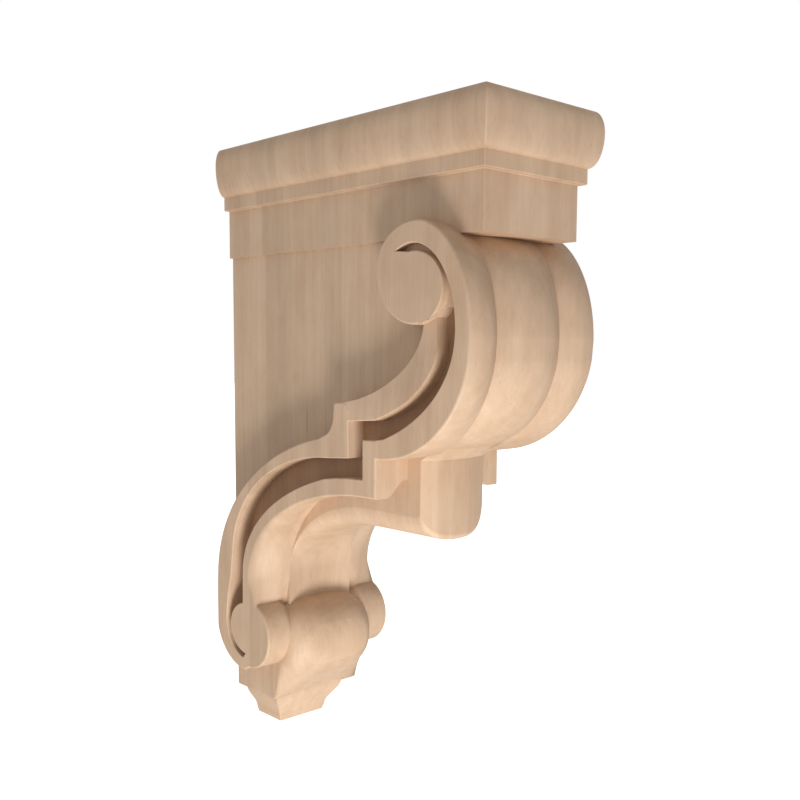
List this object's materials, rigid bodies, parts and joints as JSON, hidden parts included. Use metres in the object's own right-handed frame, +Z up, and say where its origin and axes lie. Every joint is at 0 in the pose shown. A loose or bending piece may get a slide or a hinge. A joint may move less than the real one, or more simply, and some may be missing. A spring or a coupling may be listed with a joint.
{
  "type": "corbel bracket",
  "caption": "Carved wooden scroll corbel: moulded cap, S scroll with reeded belly, hanging tongue, lower roll and stepped pendant, flat back for fixing to a wall.",
  "frame": {"origin": "on the flat back, where the corbel meets the wall, half way up and in the middle of its width", "axes": "+X across the corbel, +Y into the wall (the front faces -Y), +Z up"},
  "size_m": [0.0864, 0.2054, 0.33],
  "materials": {
    "wood": "unfinished, sanded smooth"
  },
  "bodies": {
    "root": {"corbel": "wood"}
  },
  "joints": []
}
